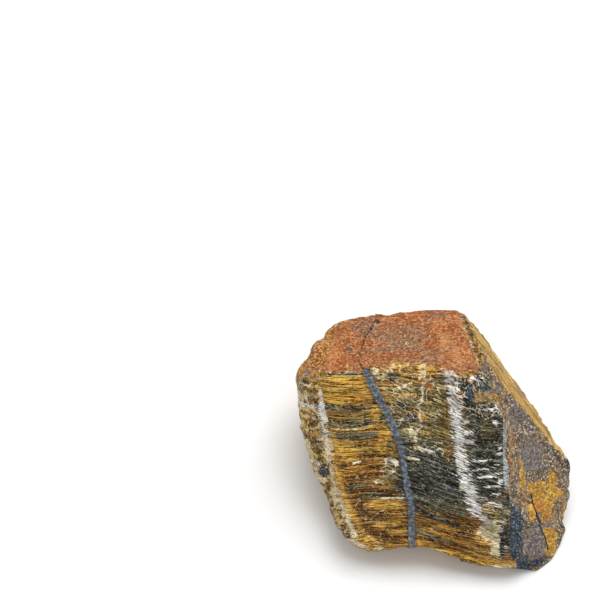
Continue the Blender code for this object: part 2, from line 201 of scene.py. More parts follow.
# Marks on the side that faces up and forward: each is a soft oval, as its place along and across,
# its half length and half height, in mm, and its dip to the right in degrees where it has one.
MARKS = {
    "gold": (
        (-18, 3.8, 5.2, 2.9), (-14.8, 2.6, 1.6, 1.6), (-11.6, 8.5, 1.2, 3.2, 30), (-10.2, 14, 1.3, 3, 20),
        (-18.2, 16.4, 2.6, 1.6), (-19.2, 24.5, 1, 5.5, -18), (-10.2, 27.2, 3, 0.9), (-10.9, 32.2, 1.2, 0.8),
        (-12.8, 35.6, 1.8, 1.2, 30), (-6, -0.6, 5.5, 1.2), (-24.4, -6.5, 1.6, 3.4, 20),
        (-26.4, -1.4, 1.4, 1.6), (-2, 36.4, 2.6, 0.7, 15), (6, 38.4, 5.5, 0.7, 12),
        (10.6, 34.5, 2.2, 1.4, 25), (-24.5, 4.6, 0.6, 1.1), (-25.8, 12.8, 1.4, 1.2), (-23, 17, 0.7, 2.4),
        (-22, 25.5, 0.9, 2.6, -28), (-20, 29.6, 0.8, 1.6, -35), (9.2, -1.8, 0.7, 1.8), (13, 40.2, 4, 0.8, 8),
        (3, 32.6, 2.4, 0.4, 16), (4.5, 16.2, 4.5, 0.35, 2), (-8.2, 37.4, 4.5, 0.6), (-17.6, 9.5, 3.6, 0.35),
        (-24, 27.4, 0.7, 1.6, -28), (-6, 5, 3, 0.6), (-4, 9, 2.6, 0.5, 15),
    ),
    "umber": (
        (-14, 24, 4.6, 2.6), (-16.5, 4.6, 3.4, 0.22), (-14, 33.4, 4.6, 2.6, 10), (-14.6, 28.6, 5.2, 3.4),
        (-11, 21, 2.6, 1.2), (-9.5, 34.6, 3.2, 0.9), (0.5, 5.4, 2.4, 0.6, 20), (0.6, 8.2, 2.2, 0.6, 20),
        (-18.3, 19, 0.45, 0.75), (1, 35.8, 6, 0.8, 14), (2.6, 29.6, 6.6, 3, 20), (-8, 3, 1.6, 0.5, 10),
        (14.4, 33, 0.9, 6), (-13.6, 18.2, 3.4, 1), (-6, 4.2, 0.9, 0.5), (-12.5, 20.6, 3, 0.4),
        (-1, 19, 3.4, 0.5, 14), (-27.1, 4.8, 0.6, 0.6), (-26, 5.3, 0.3, 0.4), (-23.9, 13.8, 0.7, 0.6),
        (-25.3, 14.9, 1.5, 0.22), (-25, 29, 0.5, 3, -30), (-6, -0.4, 6, 0.35), (-0.6, 3.4, 2.2, 0.4, 15),
        (-4.2, 1.4, 2, 0.4), (0.5, 17.8, 3, 0.35, 16), (-1.5, 21.6, 3.4, 0.3, 16), (3, 25, 2.6, 0.3, 14),
        (4, 33.4, 4.4, 0.7, 16),
    ),
    "olive": (
        (-4, 8.5, 5.5, 5.5), (9.2, 11.4, 4.6, 2.3), (-26.6, 3.4, 2, 2.4), (-17, 9.1, 5, 0.5),
        (0.5, 12.6, 4.5, 2.4, 6), (0, 16.6, 4.4, 1.6, 6), (-24.6, 10.2, 2, 0.7), (2, 28.6, 4.4, 0.5, 22),
        (9.4, 17.2, 4, 0.8), (11, 12.6, 2.4, 3), (1.6, 4.6, 2.4, 3.4), (-8.8, 21.6, 1.6, 1.8),
        (12.6, 29, 1.8, 3.4),
    ),
    "charcoal": (
        (-18.8, 7.1, 5.4, 0.6), (-18.2, 10.3, 5.9, 0.75), (-17.8, 13, 6, 0.7), (-8.4, 19.4, 1, 1.6),
        (-10.8, 9.6, 0.35, 0.9, 30), (-9.2, 15, 0.35, 1, 20), (-9.5, 25.8, 3.5, 0.35),
        (-2.6, 33.4, 2.8, 0.45, 20), (1.8, 35, 3.4, 0.3, 18), (-15.6, 23.1, 1.8, 0.3),
        (-12.4, 25.4, 2.2, 0.45), (-3.6, 15.5, 3.6, 1.2, 8), (14.3, 30, 0.9, 3.2), (-22.9, 15, 0.4, 4),
        (-18, 0.5, 4.4, 0.32), (10.2, 17, 4.2, 10.5), (6.6, 10.4, 2, 1), (-6.6, 13.4, 1.6, 0.9, 20),
        (1, 27.4, 5.6, 1.8, 14),
    ),
    "black": (
        (-3.2, 20.5, 4.2, 6, 14), (2.5, 22.5, 5.2, 4.2, 12), (9.6, 2.2, 2.1, 2), (9.4, 8.3, 4.2, 1.2),
        (10.2, 15.4, 3.8, 1.6), (10.4, 19.6, 3.6, 2.6), (10.2, 24.4, 3.4, 2.6), (6.6, 5.2, 1.2, 2.8),
        (-1.6, 29.4, 3, 0.4, 22), (3, 31.4, 2.4, 0.3, 22), (13.8, 35.6, 1.2, 3.2), (12.8, 11.8, 0.8, 2.2),
        (-24.5, 7.6, 1, 1.1), (-25.4, 8.9, 1.4, 0.3), (-5, 9.6, 1.2, 1, 20), (-6.6, 7.2, 1, 0.8, 20),
        (-7.8, 11, 1.2, 1.2, 30), (8.4, 12.8, 0.4, 4.4), (4.9, 2.6, 1.2, 1.4), (-8.6, 1.2, 1, 0.7),
    ),
    "cream": (
        (-12, 0.2, 0.6, 0.8), (-10.9, 1.6, 0.9, 0.4, 30), (-6.8, 3.4, 1.8, 0.3, -20),
        (-5.2, 5.9, 1.6, 0.25, 30), (-3.4, 15.6, 0.9, 0.6), (-4.6, 13.2, 0.5, 1.6, -15),
        (-2.6, 0.8, 0.5, 0.8), (11.2, 33.2, 1.9, 1.9, 30), (12.4, 36.2, 0.9, 2.2), (-25, 0.2, 1.1, 0.7),
        (-26.5, 6.3, 1.6, 0.3), (-27.1, 7.3, 0.4, 0.9), (-24.5, 16.9, 0.7, 1.7, -15),
        (-25.6, 19.8, 0.45, 1.6, -15), (-23.2, 20.4, 0.8, 0.9), (-22.7, 23.3, 0.9, 0.7, 30),
        (-15.6, 18.5, 0.9, 0.25), (-11.2, 22.7, 0.9, 0.35), (-9, 20.6, 0.8, 0.3),
        (-15.9, 33.2, 0.7, 0.3, 35), (-14.5, 35.8, 1.5, 0.5, 42), (-8, 26.1, 2.6, 0.16),
        (-17.6, 11.5, 4.6, 0.11), (14.8, 41.1, 2.6, 0.5, 8), (-4.6, 18, 1.4, 0.3, 10),
        (-26.4, 12.4, 0.5, 0.7), (-11, 37.2, 1, 0.35), (5.6, 23.6, 0.5, 1), (7.2, 25, 1, 0.5, 30),
        (-27.4, 2.4, 0.5, 0.4), (-25.8, 3.4, 0.8, 0.2, 20),
    ),
    "white": (
        (2.2, 1, 1, 0.6, 30), (3.6, 3, 0.7, 1), (7.2, 1.4, 0.5, 0.4), (9.2, 1.6, 0.5, 0.4, 20),
        (-25.4, 7.9, 1.4, 0.45), (-22.8, 8.2, 0.7, 1.2), (6.4, 12.6, 1.4, 0.6), (6.8, 14.6, 1, 0.6),
        (5.6, 19.4, 1.1, 1.3), (6.6, 21.6, 1.1, 1), (9.6, 20.2, 2.2, 0.3), (7.4, 26.8, 1.3, 0.9, 30),
        (10.2, 21.8, 2, 0.25), (9, 18.4, 2, 0.25), (4.3, 7.4, 1, 1.5), (4.8, 15, 0.9, 0.9),
        (10.4, 30.8, 1.1, 0.6, 30), (5, 17.6, 1.1, 0.5), (8.9, 29.2, 1, 1, 40), (11.4, 27.6, 1.6, 0.3),
        (12.9, 16.6, 0.4, 1), (10.6, 8, 1.6, 0.35, 10), (12.4, 7.4, 0.6, 0.6), (-18.4, 32.7, 0.6, 0.4, 20),
        (13.2, 23.2, 0.5, 0.9), (-1.6, 16.4, 1.2, 0.3, 8), (13, 28.2, 0.7, 0.3), (12.4, 19.4, 0.7, 0.35),
        (12.8, 21.2, 0.8, 0.25), (12.6, 25.6, 0.9, 0.3), (14.2, 31, 0.6, 0.25), (14.6, 36.4, 0.5, 0.3),
        (13.4, 33.4, 0.7, 0.25), (12, 10.6, 0.5, 0.5), (11, 24, 1.6, 0.25), (9, 26.2, 1.6, 0.25, 10),
        (6, 10.4, 0.9, 0.35), (5.4, 5.2, 0.8, 0.35), (23.7, 33.8, 0.35, 0.35),
    ),
    "ochre": (
        (18.3, 23.6, 0.5, 1.7), (17.9, 20.6, 0.4, 1.6), (21.4, 25.6, 1.9, 1.5), (24.6, 25, 1, 2.5),
        (22.6, 28.6, 2.5, 1.7), (23.4, 31.3, 1.3, 1.5), (20, 30.2, 0.75, 1.7), (25.9, 27.4, 1.1, 1.1),
        (24.6, 37.2, 1.3, 3.1, -6), (23.2, 34.9, 0.5, 0.9), (27.8, 31, 0.4, 2), (12.4, 5.5, 0.6, 0.5, 20),
        (8.3, -5, 0.2, 0.8), (8.9, -3.2, 0.25, 0.7), (9.5, -1.7, 0.25, 0.6),
    ),
    "orange": (
        (15.2, 38.4, 0.6, 0.6), (18.6, 38.9, 0.3, 0.35), (-1.4, 3.3, 1, 0.38, 10), (16.4, 14, 0.25, 1.6),
        (15.4, 18.4, 0.25, 0.9), (23.9, 29.8, 0.4, 0.5), (17.3, 35, 0.18, 2), (21.6, 29.4, 0.8, 0.9),
        (23, 31.8, 0.7, 0.7),
    ),
    "tan": (
        (15.6, 14, 0.6, 3.6), (15.9, 20.6, 0.4, 2), (14.8, 9.8, 0.4, 1.8), (13.6, 6, 0.6, 1.6, 20),
        (-18.2, 8.2, 4.6, 0.14), (17.2, 25.6, 0.4, 2), (12.2, 2.6, 0.4, 1.6, 30), (18.6, 27.6, 0.7, 2.2),
        (10, 5.2, 2.4, 1.1, 5), (25.6, 32.4, 0.8, 1.6),
    ),
    "dusk": (
        (-6.4, -5.4, 5.6, 2.9), (-1, -2.4, 3, 0.9), (-14, -6.8, 2.6, 1.6), (1.2, -9.4, 3, 1.4),
    ),
    "pale": (
        (5, -2.2, 2, 1.6), (2, -3.8, 1.2, 3.4), (-20.8, -3.8, 1, 4.4), (-21, -10.6, 1.2, 1.6),
        (6, -7, 1.2, 1.4), (-9.2, -4.4, 0.5, 0.3),
    ),
    "curly": (
        (-5, 6, 5, 6), (2, 2.4, 4, 2.4), (8.6, 2.4, 2.8, 2.6), (-11, 1.6, 1.8, 2.6), (9.6, 8.2, 3.8, 1.2),
        (-8.8, 20, 1.6, 2.2), (-2, 15.6, 5, 1.6, 10), (11.8, 30, 2.4, 3.4), (-6, -1, 6, 1.2),
        (-26, 3, 1.8, 3.4), (-7.4, -4.4, 2.6, 1), (-1, -4.6, 1.6, 0.6), (6.4, -3, 0.8, 0.6),
        (-11.6, -8, 1.4, 0.6), (-23.6, 21.6, 1.6, 2.6, -20), (4.4, 4.6, 1.4, 3), (-4.4, 13, 2, 2.4),
    ),
    "navy": (
        (16.6, 34.4, 1.4, 5.4), (15.8, 29.6, 0.6, 1.6), (20, 41.8, 3.6, 1.1, -12), (18.6, 40.2, 1.4, 1.2),
        (-11.3, -8.2, 0.55, 0.3), (-12.6, -7, 0.3, 0.3), (-17.2, -3.5, 0.55, 0.22, -20),
        (-13.9, -0.2, 0.7, 0.25), (28, 21, 0.5, 0.9), (-21.9, 21.2, 0.7, 0.8), (-19.6, 31.6, 0.7, 0.4, 30),
        (-17.3, 35, 1.1, 0.5, 38), (9.4, 3.5, 1.4, 0.4, 8), (6.7, 4.4, 0.55, 1.9), (14.8, 26.8, 0.5, 1.4),
    ),
    "grey": (
        (12.8, 2.6, 0.8, 3.8, 30), (21, 36.6, 2.6, 4), (-1, 2.2, 1, 0.3), (24.4, 33.2, 1.2, 1.2),
        (10, -1, 0.6, 1.6, 15), (20.5, 19, 2.6, 2.6), (-25, 1.4, 1, 0.3), (17, 10, 1.8, 3.4, 30),
    ),
}
# Where fibre shows through the front of the crust, as above
BARE_CRUST = ((-10.6, -0.2, 3, 0.7), (-7, -0.7, 1.8, 1.3), (-4.2, -0.4, 2.2, 0.9, -10),
              (-0.8, -0.1, 2.2, 0.6))
BARE_FRAY = (1.0, (3.4, 1.1, 1.1)), (0.8, (1.1, 0.45, 0.45))  # its edge is uneven by this, in mm
# The crust stops short of the right end of its break: the place along where it ends, at the ridge,
# and how much further right that is for each mm across
CRUST_END, CRUST_END_SLOPE = 8.8, 0.36
STRIP_RUN = (13.5, -15.0, -11.0)  # the way that the fibres run in the bare strip

QUARTZ_IOR = 1.55
WEATHERED_GLOSS = 0.16  # a broken stone scatters most of a polished one's gloss
FIBRE_MATT, FIBRE_SILKY, CRUST_MATT = 0.55, 0.36, 0.65  # roughness

# The unevenness that the material draws: along which grain, or round which place, and its length
# along, across and deep, in mm. Where they aren't the usual ones, its detail, its warp and the span
# that is spread from 0 to 1 come after.
PATTERNS = {
    "band": ("grain", (18, 1.3, 2.2)),
    "bundle": ("grain", (6.5, 0.46, 0.8), 2, 0.2),
    "tint": ("grain", (7, 0.6, 0.9), 2, 0.3),
    # real fibres are some hundredths of a millimetre wide: drawn here at 0.2 mm, which shows
    "fibre": ("grain", (4.5, 0.2, 0.3), 1, 0.15, 0.34, 0.66),
    "dash": ("grain", (0.8, 0.22, 0.3), 1, 0.3, 0.34, 0.66),
    "splinter": ("grain", (1.3, 0.22, 0.32), 2, 0.5, 0.38, 0.62),
    "thread": ("grain", (0.9, 0.42, 0.5), 2, 2.0),
    "curl": ("grain", (3.2, 1.9, 1.9), 0, 1.0),
    "strip_fibre": ("strip", (4, 0.26, 0.4), 2, 0.2, 0.34, 0.66),
    "strip_band": ("strip", (9, 1.0, 2.0), 2, 0.2),
    "scale": ("place", (1.6, 1.2, 1.2), 1, 0.5, 0.36, 0.64),
    "scrape": ("strip", (2.2, 0.5, 0.6), 3, 0.4),
    "cloud": ("place", (7.0, 7.0, 7.0), 3),
    "mottle": ("place", (2.6, 2.6, 2.6), 3),
    "drift": ("place", (6.0, 1.1, 1.1), 3, 0.6, 0.4, 0.7),
    "run": ("strip", (7.0, 1.5, 1.5), 3, 0.4),
    "speck": ("place", (0.85, 0.7, 0.7), 2, 0.4),
    "grit": ("place", (0.55, 0.42, 0.42), 1, 0.2),
    # painted sparkle: specks of light that stand in for glints off the fibres
    "painted_sparkle": ("grain", (0.55, 0.26, 0.3), 0, 0.0, 0.7, 0.76),
    "dot": ("place", (0.36, 0.36, 0.36), 0, 0.0, 0.62, 0.7),
    # painted shade of small pits
    "pit_shade": ("place", (0.5, 0.5, 0.5), 0, 0.0, 0.36, 0.28),
}

FRONT = (-18, -14.5)  # the marks set in over these depths, from behind the crust's far edge

# Where the sheets that cross the fibres end on the same side: places across, in mm
SEAM_TOP, SEAM_FOOT = (-1, 0.5), (24, 27)
WHITE_FOOT = (29, 33)
SQUIGGLE_TOP, SQUIGGLE_FOOT = (1, 2.4), (14.5, 17)
GONE = 3  # past its end a sheet counts as this much further off
# Above these places the seam is thinner by this much, in mm, and the painted sheen line by this share
SEAM_THIN, SEAM_THINNER = (4, 7), 0.3
SHEEN_THIN, SHEEN_THINNER = (4, 8), 1.4
# On the other sides the white band counts as this much further off, and strays by this much
WHITE_PAST, WHITE_STRAY, WHITE_STRAY_LENGTH = 0.9, 1.5, (9, 2, 3)
LIT = (10, 15)  # where the sheen line turns golden and bright, with a shadow beside it: painted highlight and painted shadow
# The fibre is splintery where these marks show, by these shares, this near the white band, in mm,
# and by a last share right of the vein
SPLINTERY = {"white": 1.0, "black": 0.8, "cream": 0.6}
SPLINTERY_BAND, SPLINTERY_RIGHT = (0.8, 2.2), 0.5
# The sides that the marks don't reach have bands of the same colours: their length each way and
# their shift, in mm, and the unevenness at which they set in and are full
HIDDEN = {
    "gold": ((16, 3.2, 3.2), (0, 0, 0), 0.05, 0.4),
    "umber": ((14, 2.6, 2.6), (40, 9, 0), 0.0, 0.4),
    "charcoal": ((14, 2.2, 2.2), (0, 50, 7), 0.1, 0.4),
    "black": ((12, 4.5, 4.5), (7, 0, 60), 0.15, 0.5),
    "ochre": ((5, 4, 4), (30, 30, 0), 0.1, 0.5),
    "navy": ((6, 6, 6), (0, 70, 20), 0.25, 0.6),
}
HIDDEN_SHARE = 0.8  # how strong they get
FAR = 99.0  # further from a crack than anything, in mm

# Cracks on the same side, as points along and across, in mm
CRACKS = (
    ((-11.9, -8.2), (-12.6, -7.0), (-14.0, -5.5), (-15.0, -3.2), (-15.4, -1.6), (-14.6, -0.4)),
    ((20.1, 26.5), (20.5, 29.0), (21.4, 32.0), (22.9, 35.8), (24.1, 38.8)),
)


def linear(code):
    """An sRGB hex colour as the linear one that Blender mixes."""
    parts = [int(code[i:i + 2], 16) / 255 for i in (1, 3, 5)]
    return tuple(p / 12.92 if p <= 0.04045 else ((p + 0.055) / 1.055) ** 2.4 for p in parts)


def colour(name, description, code):
    """A colour that a user can change."""
    return bpy.props.FloatVectorProperty(name=name, description=description, default=linear(code),
                                         size=3, min=0.0, max=1.0, subtype="COLOR")


GLINT = "The same fibre where it catches the light"


class RoughStoneSettings(bpy.types.PropertyGroup):
    """Sizes and colours of the stone."""

    relief: bpy.props.FloatProperty(
        name="Close relief", description="Share of the fine ribs, shards, grain and chips",
        default=1.0, min=0.0, max=2.0, subtype="FACTOR")
    crack_half: bpy.props.FloatProperty(
        name="Crack half width", description="Half the width of a crack",
        default=CRACK_HALF * MM, min=0.0, max=0.002, subtype="DISTANCE", unit="LENGTH")
    vein_half: bpy.props.FloatProperty(
        name="Vein half width", description="Half the thickness of the hematite vein",
        default=VEIN_HALF * MM, min=0.0, max=0.003, subtype="DISTANCE", unit="LENGTH")
    brown: colour("Fibre brown", "Oxidised fibre away from the bright bands", "#835915")
    brown_glint: colour("Fibre brown glint", GLINT, "#d09a42")
    gold: colour("Gold", "Fibre where the silky sheen is strongest", "#c08620")
    gold_glint: colour("Gold glint", GLINT, "#f6c860")
    umber: colour("Umber", "Fibre stained deep by iron", "#5a360e")
    umber_glint: colour("Umber glint", GLINT, "#ad7730")
    olive: colour("Olive", "Half-altered fibre", "#625028")
    olive_glint: colour("Olive glint", GLINT, "#b4a062")
    charcoal: colour("Charcoal", "Bands of fibre that kept some of their blue", "#443e2a")
    charcoal_glint: colour("Charcoal glint", GLINT, "#8a866a")
    black: colour("Blue black", "Unaltered crocidolite fibre", "#181a18")
    black_glint: colour("Blue-black glint", GLINT, "#787c74")
    cream: colour("Cream", "Splintered quartz with little iron", "#cdb67c")
    cream_glint: colour("Cream glint", "The same quartz where it catches the light", "#fbf2d4")
    fleck: colour("Fleck", "Loose ends of fibre", "#ead6a4")
    white: colour("White splinters", "Fibre ends bruised white", "#f2f3f0")
    hematite: colour("Hematite", "The blue-grey iron oxide of the vein and the seam", "#646b74")
    seam_grey: colour("Seam grey", "The paler hematite of the seam", "#9aa8b2")
    navy: colour("Massive hematite", "Dark iron oxide at the toe", "#383f47")
    brick: colour("Brick crust", "Red iron oxide on the top", "#9b5121")
    brick_pale: colour("Pale brick", "The same crust where it is dusty", "#d0945c")
    rust: colour("Rust", "Browner iron oxide on the shoulder", "#9c5f38")
    dusk: colour("Dusk", "Grey-brown streaks on the top", "#876149")
    skin_brown: colour("Skin brown", "The weathered outside", "#685544")
    skin_pale: colour("Skin speckle", "Pale grains in the skin", "#95856c")
    skin_dot: colour("Skin dot", "Quartz grains that show through the skin", "#e2d8c4")
    ochre: colour("Ochre", "Powdery limonite", "#b0843c")
    orange: colour("Rust orange", "Fresh rust", "#b3642a")
    tan: colour("Tan", "Thin limonite over the skin and the crust", "#a68252")
    grey: colour("Purple grey", "Thin iron glaze over the skin and crust", "#787378")
    mustard: colour("Mustard", "The strip of bare fibre down the right", "#b5882a")
    torn: colour("Torn edge", "Dark fibre along the crust's right edge", "#603c24")
    margin: colour("Margin", "Worn fibre down the left", "#b8841a")
    # painted highlight: the colour of the sheen line where it is golden
    painted_sheen: colour("Silk", "The sheen line where it is golden", "#fffbe7")
    bright: colour("Brightest", "The palest fibre ends and sheen", "#ffffff")
    thread: colour("Thread", "Curled threads of loose fibre", "#f3ecd7")
    # painted shade: the near black of the gaps between splinters and of the cracks
    gap: colour("Gap", "Gaps between splinters, and cracks", "#16120d")
    warm: colour("Warm tint", "Tints some of the fibre", "#fff1e2")
    cool: colour("Cool tint", "Tints the rest of it", "#f3fff6")


class PaleStageSettings(bpy.types.PropertyGroup):
    """Sizes and strengths of the stage."""

    floor_radius: bpy.props.FloatProperty(
        name="Floor radius", description="Radius of the round floor",
        default=1.6, min=0.2, max=10.0, subtype="DISTANCE", unit="LENGTH")
    floor: colour("Floor", "Matt white card", "#f6f6f6")
    sky: bpy.props.FloatProperty(
        name="Room light", description="Strength of the even white light from all round",
        default=0.6, min=0.0, max=10.0)
    softbox: bpy.props.FloatProperty(
        name="Softbox", description="Power of the large soft light", default=4.0, min=0.0,
        max=1000.0, subtype="POWER", unit="POWER")
    softbox_side: bpy.props.FloatProperty(
        name="Softbox side", description="Length of the softbox's sides", default=0.5, min=0.05,
        max=5.0, subtype="DISTANCE", unit="LENGTH")


# ---------------------------------------------------------------- the lump


def facing(turn, lean):
    """The direction that a break faces."""
    a, e = math.radians(turn), math.radians(lean)
    return Vector((math.cos(a) * math.cos(e), math.sin(a) * math.cos(e), math.sin(e)))


def apply_modifier(kind, obj, name, **settings):
    """Puts a modifier on the object and applies it."""
    modifier = obj.modifiers.new(name, kind)
    for key, value in settings.items():
        setattr(modifier, key, value)
    bpy.ops.object.modifier_apply(modifier=name)


def only(obj):
    """Selects this object and nothing else."""
    bpy.ops.object.select_all(action="DESELECT")
    obj.select_set(True)
    bpy.context.view_layer.objects.active = obj


def broken_block():
    """A block round the heart, cut by every break in turn, each cut closed by a flat face."""
    bpy.ops.object.select_all(action="DESELECT")
    bpy.ops.mesh.primitive_cube_add(size=BLOCK_SIZE, location=HEART)
    block = bpy.context.object
    block.name = block.data.name = "rough_tigers_eye"
    bpy.ops.object.transform_apply(location=True, rotation=True, scale=True)
    bpy.ops.object.mode_set(mode="EDIT")
    for turn, lean, reach in BREAKS.values():
        out = facing(turn, lean)
        bpy.ops.mesh.select_all(action="SELECT")
        bpy.ops.mesh.bisect(plane_co=HEART + out * reach * MM, plane_no=out, use_fill=True,
                            clear_outer=True)
    bpy.ops.mesh.select_all(action="SELECT")
    bpy.ops.mesh.normals_make_consistent(inside=False)
    bpy.ops.object.mode_set(mode="OBJECT")
    return block


def strike_flakes(block):
    """Scoops each flake off the block's edges."""
    for name, (middle, radii, turn) in FLAKES.items():
        bpy.ops.object.select_all(action="DESELECT")
        bpy.ops.mesh.primitive_ico_sphere_add(
            subdivisions=SCOOP_ROUNDNESS, radius=1.0, location=HEART + Vector(middle) * MM,
            rotation=[math.radians(a) for a in turn], scale=Vector(radii) * MM)
        scoop = bpy.context.object
        bpy.context.view_layer.objects.active = block
        apply_modifier("BOOLEAN", block, name, operation="DIFFERENCE", object=scoop)
        only(scoop)
        bpy.ops.object.delete()


def stretch(obj, factor):
    """Draws the object out along X."""
    only(obj)
    obj.scale.x = factor
    bpy.ops.object.transform_apply(location=True, rotation=True, scale=True)


def cover_with_faces(obj):
    """Covers the lump with small even faces, then draws them out along the fibres."""
    stretch(obj, 1 / FACE_STRETCH)
    apply_modifier("REMESH", obj, "cover", mode="VOXEL", voxel_size=FACE, use_smooth_shade=True)
    stretch(obj, FACE_STRETCH)


# ---------------------------------------------------------------- measures of the surface, in mm


def ramp(low, high, values):
    """0 at low and 1 at high, smooth between."""
    share = np.clip((values - low) / (high - low), 0, 1)
    return share * share * (3 - 2 * share)


def uneven(places, length):
    """Smooth unevenness from about -1 to 1, with this length each way."""
    return np.array([noise.noise(place) for place in (places / np.array(length)).tolist()])


def route_offset(route, places):
    """How far each place is past a route, to the right. The route's corners are eased."""
    ys, xs = np.array(sorted(route)).T
    y = places[:, 1]
    shifts = np.linspace(-BEND_EASE, BEND_EASE, 5)
    middle = np.mean([np.interp(y + s, ys, xs) for s in shifts], axis=0)
    slope = (np.interp(y + 1, ys, xs) - np.interp(y - 1, ys, xs)) / 2
    return (places[:, 0] - middle) / np.sqrt(1 + slope * slope)


def vein_x(y):
    """Where the vein's middle is at this y: straight from each point of its route to the next."""
    ys, xs = np.array(sorted(ROUTES["vein"])).T
    return np.interp(y, ys, xs)


def grain_places(places):
    """Each place as along, across and deep, straight where the fibres bend, and across unbent."""
    from_ridge = places - RIDGE
    across = from_ridge @ ACROSS
    past_vein = np.maximum(0, places[:, 0] - vein_x(places[:, 1]))
    bent = across - FIBRE_DIP * ramp(DIP_FROM, DIP_TO, across) * past_vein
    return np.column_stack((places[:, 0], bent, from_ridge @ DEEP)), across


def sag(along, across):
    """How far the fibres left of the vein hang down, in mm."""
    share = np.clip((along - SAG_AT) / SAG_HALF, -1, 1)
    return SAG * (1 + np.cos(math.pi * share)) / 2 * ramp(0, 5, across)


def swept(grain, places):
    """The grain as the fibres really run: they sweep down in the middle, and all wander a little."""
    along, across, deep = grain.T
    start, full, end = SWEEP_ACROSS
    share = ramp(start, full, across) * (1 - ramp(full, end, across))
    run = np.clip(along, *SWEEP_ALONG) - SWEEP_ALONG[0]
    wander = WAVE * uneven(places, WAVE_LENGTH)
    return np.column_stack((along, across - SWEEP * share * run - sag(along, across) + wander, deep))


def depths(places):
    """How far each place lies inside each break, one column for each."""
    outs = np.array([facing(turn, lean) for turn, lean, _ in BREAKS.values()])
    reaches = np.array([reach for _, _, reach in BREAKS.values()])
    return reaches - places @ outs.T


def coat_reach(names, inside):
    """How far each place lies inside the edge of a coat that covers these breaks."""
    mine = np.array([name in names for name in BREAKS])
    return inside[:, ~mine].min(axis=1) - inside[:, mine].min(axis=1)


def oval_weight(ovals, along, across):
    """From 1 in the middle of a blunt oval, through a half at its edge, to 0."""
    weight = np.zeros(len(along))
    for x, c, half_x, half_c, *dip in ovals:
        turn = math.radians(sum(dip))
        u = ((along - x) * math.cos(turn) + (across - c) * math.sin(turn)) / half_x
        v = ((across - c) * math.cos(turn) - (along - x) * math.sin(turn)) / half_c
        weight = np.maximum(weight, 1 / (1 + u ** 4 + v ** 4))
    return weight


def crack_distance(along, across):
    """The distance to the nearest crack."""
    nearest = np.full(len(along), FAR)
    here = np.column_stack((along, across))
    for crack in CRACKS:
        points = np.array(crack)
        for a, b in zip(points, points[1:]):
            share = np.clip((here - a) @ (b - a) / ((b - a) @ (b - a)), 0, 1)
            gap = here - a - share[:, None] * (b - a)
            nearest = np.minimum(nearest, np.hypot(gap[:, 0], gap[:, 1]))
    return nearest


def strip_axes():
    """Along the bare strip, across it and square to it."""
    along = np.array(STRIP_RUN) / np.linalg.norm(STRIP_RUN)
    out = np.array(facing(*BREAKS["gold_strip"][:2]))
    return np.array((along, np.cross(out, along), out))


def measure(places):
    """Every measure of the flat breaks that the relief and the material read."""
    grain, across = grain_places(places)
    along = places[:, 0]
    inside = depths(places)
    found = {name: route_offset(route, places) for name, route in ROUTES.items()}
    found.update((name, coat_reach(names, inside)) for name, names in COATS.items())
    ordered = np.sort(inside, axis=1)
    found["scar"] = ordered[:, 0]
    found["edge"] = ordered[:, 1]
    found["worn"] = ordered[:, 0] + np.log(np.exp(-inside / WEAR).sum(axis=1)) * WEAR
    front = ramp(*FRONT, grain[:, 2])
    found["seam"] = abs(found["seam"]) + front * (GONE * (1 - ramp(*SEAM_TOP, across))
                                                  + GONE * ramp(*SEAM_FOOT, across)
                                                  + SEAM_THINNER * (1 - ramp(*SEAM_THIN, across)))
    found["white_band"] = abs(found["white_band"]) + front * GONE * ramp(*WHITE_FOOT, across)
    found["white_band"] += (1 - front) * (WHITE_PAST + WHITE_STRAY * uneven(grain, WHITE_STRAY_LENGTH))
    zigzag = found["squiggle"] + SQUIGGLE * uneven(grain, SQUIGGLE_LENGTH)
    shown = ramp(*SQUIGGLE_TOP, across) * (1 - ramp(*SQUIGGLE_FOOT, across))
    found["squiggle"] = abs(zigzag) + 3 * GONE * (1 - front * shown)
    hung = across - sag(along, across)
    for name, ovals in MARKS.items():
        found[name] = oval_weight(ovals, along, hung) * front
    found["splintery"] = np.clip(
        sum(share * found[name] for name, share in SPLINTERY.items())
        + (1 - ramp(*SPLINTERY_BAND, found["white_band"]))
        + SPLINTERY_RIGHT * ramp(0, 1, found["vein"]), 0, 1)
    off_strip = 1 - ramp(-0.4, 0.2, found["strip"])
    for name in ("grey", "tan", "navy"):
        found[name] *= off_strip
    left = np.minimum(-found["cream_line"], across + 1)
    found["margin"] = front * left + (1 - front) * found["margin"]
    found["cream_line"] *= 1 + SHEEN_THINNER * front * (1 - ramp(*SHEEN_THIN, across))
    found["lit"] = front * ramp(*LIT, across)
    for name, (length, shift, low, high) in HIDDEN.items():
        where = places if name in ("ochre", "navy") else grain
        band = ramp(low, high, uneven(where + np.array(shift), length))
        found[name] += (1 - front) * band * HIDDEN_SHARE
    crust_end = CRUST_END + CRUST_END_SLOPE * across
    found["ragged"] = np.maximum(found["ragged"], np.minimum(found["crust"], along - crust_end))
    found["crust"] = np.minimum(found["crust"], crust_end - along)
    found["crack"] = np.where(front > 0.5, crack_distance(along, across), FAR)
    bare = oval_weight(BARE_CRUST, along, across)
    frayed = sum(share * uneven(grain, length) for share, length in BARE_FRAY)
    found["crust"] = np.minimum(found["crust"], (0.5 - bare) * 3 + frayed)
    found["grain"] = grain
    found["fibres"] = swept(grain, places)
    found["strip_grain"] = places @ strip_axes().T
    return found


# ---------------------------------------------------------------- relief, in mm


